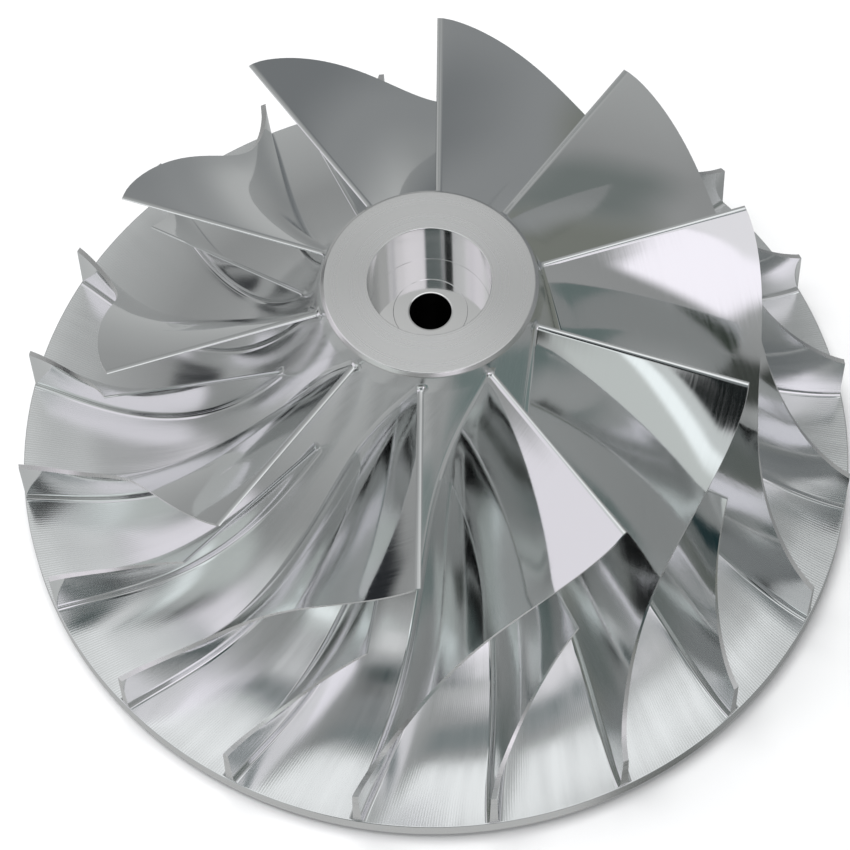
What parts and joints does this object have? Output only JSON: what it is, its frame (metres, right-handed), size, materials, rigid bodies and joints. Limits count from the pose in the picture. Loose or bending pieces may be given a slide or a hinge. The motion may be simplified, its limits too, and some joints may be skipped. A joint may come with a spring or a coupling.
{
  "type": "turbocharger compressor wheel",
  "caption": "Milled aluminium turbocharger compressor wheel with swept full and splitter blades, a thin back disc, and a counterbored hub with a central shaft bore.",
  "frame": {"origin": "centre of the shaft bore on the back seat, the wheel's lowest plane", "axes": "+Z along the bore axis, from the back seat to the nose; the wheel turns counter-clockwise seen from the nose"},
  "size_m": [0.128, 0.128, 0.0519],
  "materials": {
    "turned_aluminium": "satin turned hub and disc with fine milling lines on the floor between the blades",
    "milled_aluminium": "bright flank-milled blade surfaces, near mirror with faint cutter lines"
  },
  "bodies": {
    "root": {"hub": "turned_aluminium", "full_blade_01": "milled_aluminium", "full_blade_02": "milled_aluminium", "full_blade_03": "milled_aluminium", "full_blade_04": "milled_aluminium", "full_blade_05": "milled_aluminium", "full_blade_06": "milled_aluminium", "full_blade_07": "milled_aluminium", "full_blade_08": "milled_aluminium", "full_blade_09": "milled_aluminium", "full_blade_10": "milled_aluminium", "splitter_blade_01": "milled_aluminium", "splitter_blade_02": "milled_aluminium", "splitter_blade_03": "milled_aluminium", "splitter_blade_04": "milled_aluminium", "splitter_blade_05": "milled_aluminium", "splitter_blade_06": "milled_aluminium", "splitter_blade_07": "milled_aluminium", "splitter_blade_08": "milled_aluminium", "splitter_blade_09": "milled_aluminium", "splitter_blade_10": "milled_aluminium"}
  },
  "joints": []
}
